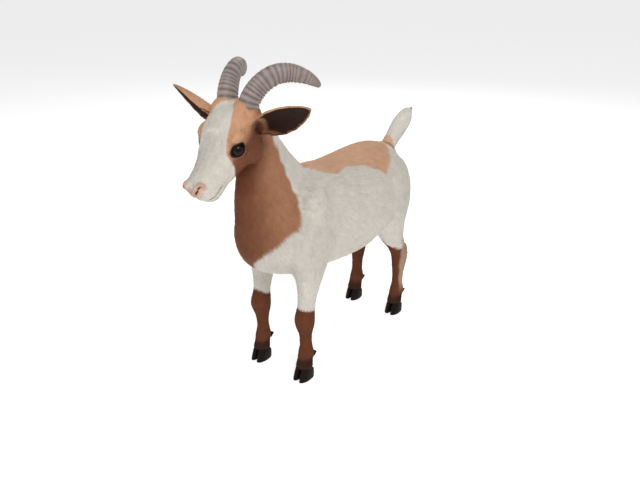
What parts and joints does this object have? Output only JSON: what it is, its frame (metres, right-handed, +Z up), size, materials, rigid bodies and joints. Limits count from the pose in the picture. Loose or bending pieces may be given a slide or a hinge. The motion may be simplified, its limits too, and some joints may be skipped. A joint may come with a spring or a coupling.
{
  "type": "goat, young dwarf doe, standing",
  "caption": "Life-size still model of a young horned dwarf goat standing square, brown and white, head up, ears out and tail raised.",
  "frame": {"origin": "on the floor, at the bottom centre of the whole goat's box", "axes": "+Z up, the goat faces -Y, and its left side is +X"},
  "size_m": [0.3782, 0.8272, 0.7673],
  "materials": {
    "coat_white": "short straight hair, matt",
    "coat_brown": "short straight hair, matt",
    "horn": "ringed keratin, dull",
    "hoof": "dark keratin, slight sheen",
    "eye": "wet gloss"
  },
  "bodies": {
    "root": {"head": "coat_white", "neck": "coat_white", "trunk": "coat_white", "tail": "coat_white", "foreleg_left": "coat_white", "foreleg_right": "coat_white", "hindleg_left": "coat_white", "hindleg_right": "coat_white", "ear_left": "coat_brown", "ear_right": "coat_brown", "eye_left": "eye", "eye_right": "eye", "horn_left": "horn", "horn_right": "horn", "claw_fore_left_inner": "hoof", "claw_fore_left_outer": "hoof", "claw_fore_right_inner": "hoof", "claw_fore_right_outer": "hoof", "claw_hind_left_inner": "hoof", "claw_hind_left_outer": "hoof", "claw_hind_right_inner": "hoof", "claw_hind_right_outer": "hoof", "dewclaw_fore_left_inner": "hoof", "dewclaw_fore_left_outer": "hoof", "dewclaw_fore_right_inner": "hoof", "dewclaw_fore_right_outer": "hoof", "dewclaw_hind_left_inner": "hoof", "dewclaw_hind_left_outer": "hoof", "dewclaw_hind_right_inner": "hoof", "dewclaw_hind_right_outer": "hoof"}
  },
  "joints": []
}
